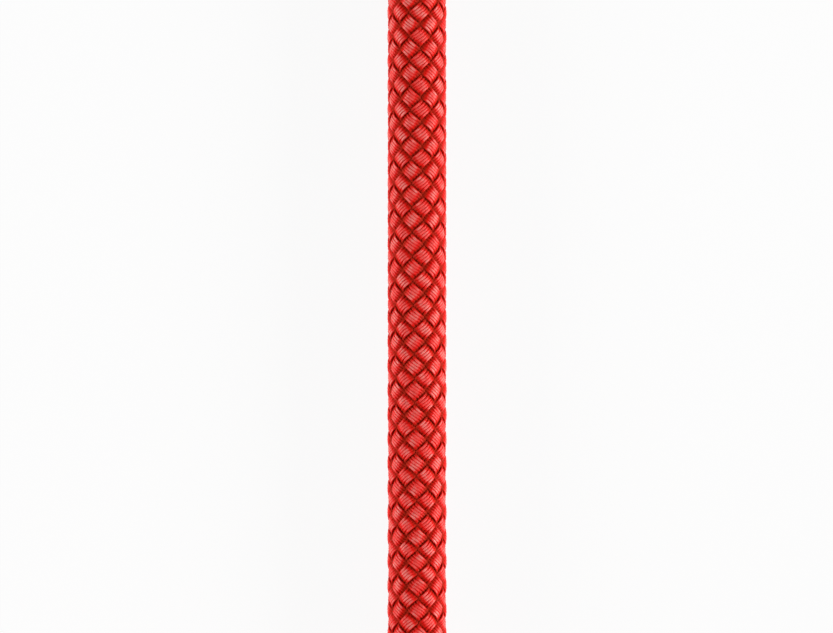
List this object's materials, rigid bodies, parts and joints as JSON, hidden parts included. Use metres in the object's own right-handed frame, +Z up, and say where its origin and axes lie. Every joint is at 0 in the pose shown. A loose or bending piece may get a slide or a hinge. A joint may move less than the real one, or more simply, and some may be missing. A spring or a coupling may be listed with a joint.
{
  "type": "dynamic climbing rope",
  "caption": "Red kernmantle climbing rope with a braided sheath, one stretch laid straight and the rest folded into a strapped hank.",
  "frame": {"origin": "on the surface the rope lies on, under the middle of the whole object's box", "axes": "+Y along the straight stretch, away from the hank and towards the hot-cut end; +Z up"},
  "size_m": [0.0904, 0.3748, 0.0981],
  "materials": {
    "sheath_yarn": "braided polyamide filament, soft sheen",
    "core_yarn": "twisted polyamide filament",
    "tape": "blank polyester tape",
    "end_band": "shrunk polyolefin sleeve, satin",
    "fused_nylon": "melted polyamide",
    "strap_webbing": "woven hook-and-loop webbing"
  },
  "bodies": {
    "root": {"sheath_z1": "sheath_yarn", "sheath_z2": "sheath_yarn", "sheath_z3": "sheath_yarn", "sheath_z4": "sheath_yarn", "sheath_z5": "sheath_yarn", "sheath_z6": "sheath_yarn", "sheath_z7": "sheath_yarn", "sheath_z8": "sheath_yarn", "sheath_s1": "sheath_yarn", "sheath_s2": "sheath_yarn", "sheath_s3": "sheath_yarn", "sheath_s4": "sheath_yarn", "sheath_s5": "sheath_yarn", "sheath_s6": "sheath_yarn", "sheath_s7": "sheath_yarn", "sheath_s8": "sheath_yarn", "core_inner_1": "core_yarn", "core_inner_2": "core_yarn", "core_inner_3": "core_yarn", "core_outer_1": "core_yarn", "core_outer_2": "core_yarn", "core_outer_3": "core_yarn", "core_outer_4": "core_yarn", "core_outer_5": "core_yarn", "core_outer_6": "core_yarn", "core_outer_7": "core_yarn", "core_outer_8": "core_yarn", "core_outer_9": "core_yarn", "identification_tape": "tape", "rope_hank": "sheath_yarn", "hank_core": "sheath_yarn", "end_band_a": "end_band", "end_band_b": "end_band", "fused_tip_a": "fused_nylon", "fused_tip_b": "fused_nylon", "tie_strap": "strap_webbing", "tie_strap_tail": "strap_webbing"}
  },
  "joints": []
}
